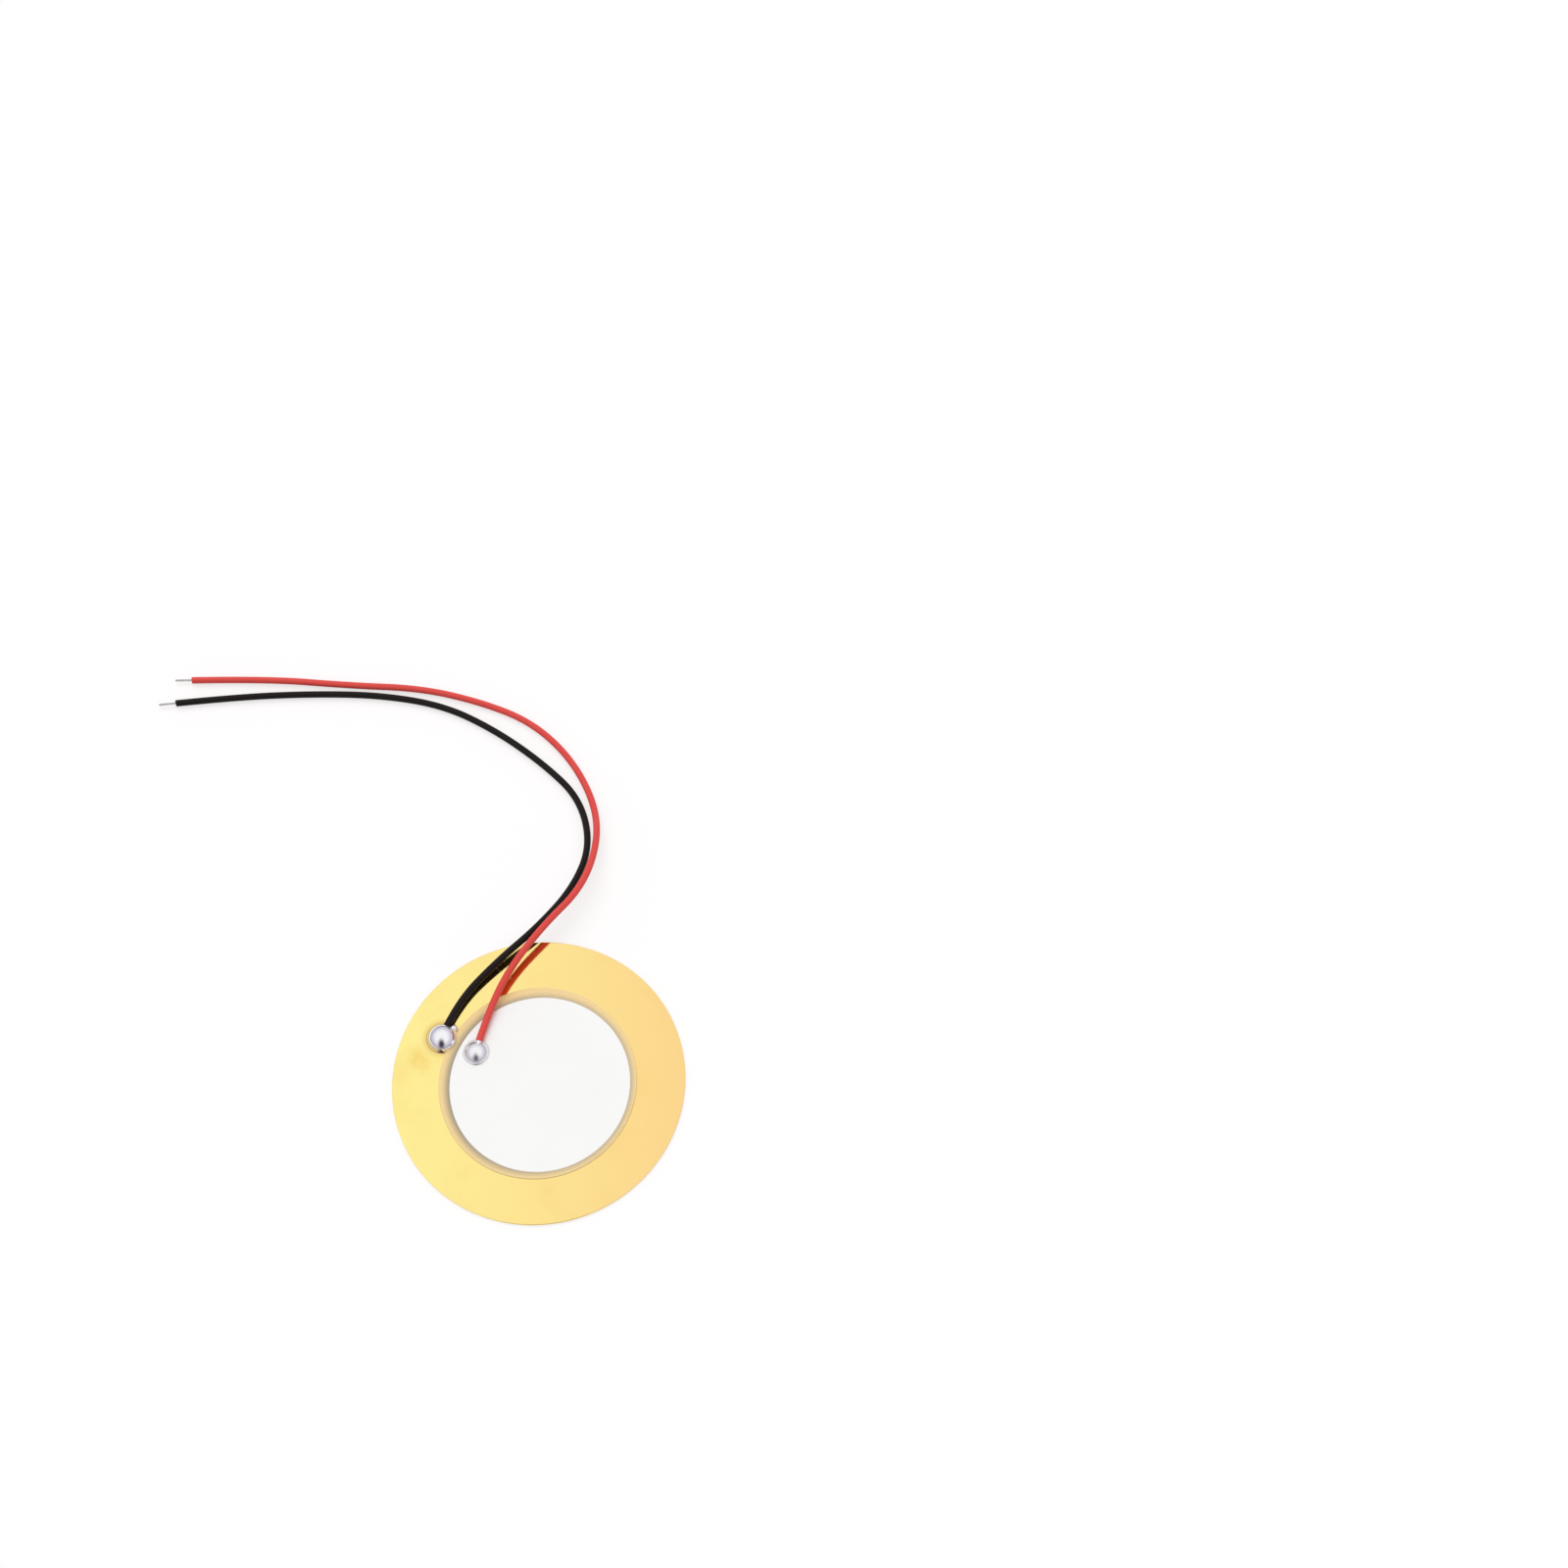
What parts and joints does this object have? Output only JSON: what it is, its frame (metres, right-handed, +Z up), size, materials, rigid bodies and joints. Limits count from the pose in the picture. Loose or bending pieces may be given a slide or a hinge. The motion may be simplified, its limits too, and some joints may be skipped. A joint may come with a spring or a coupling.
{
  "type": "piezo disc buzzer element",
  "caption": "Bare piezo buzzer disc: a round brass diaphragm with a bonded, silvered ceramic wafer and soldered red and black wire leads; it flexes and sounds when driven.",
  "frame": {"origin": "centre of the brass diaphragm's underside", "axes": "+Z up, out of the silvered face; +Y towards the edge that the leads cross; +X to the right with the leads at the top"},
  "size_m": [0.0684, 0.0714, 0.0035],
  "materials": {
    "polished_brass": "rolled and polished brass",
    "epoxy": "thin clear amber epoxy",
    "fired_silver": "satin fired silver",
    "piezo_ceramic": "lapped tan-grey ceramic",
    "solder": "bright solder",
    "black_pvc": "smooth extruded plastic",
    "red_pvc": "smooth extruded plastic",
    "tinned_copper": "tinned strands"
  },
  "bodies": {
    "root": {"brass_diaphragm": "polished_brass", "bond_layer": "epoxy", "lower_electrode": "fired_silver", "piezo_ceramic": "piezo_ceramic", "upper_electrode": "fired_silver", "black_solder_joint": "solder", "red_solder_joint": "solder", "black_lead_jacket": "black_pvc", "black_lead_core": "tinned_copper", "red_lead_jacket": "red_pvc", "red_lead_core": "tinned_copper"}
  },
  "joints": []
}
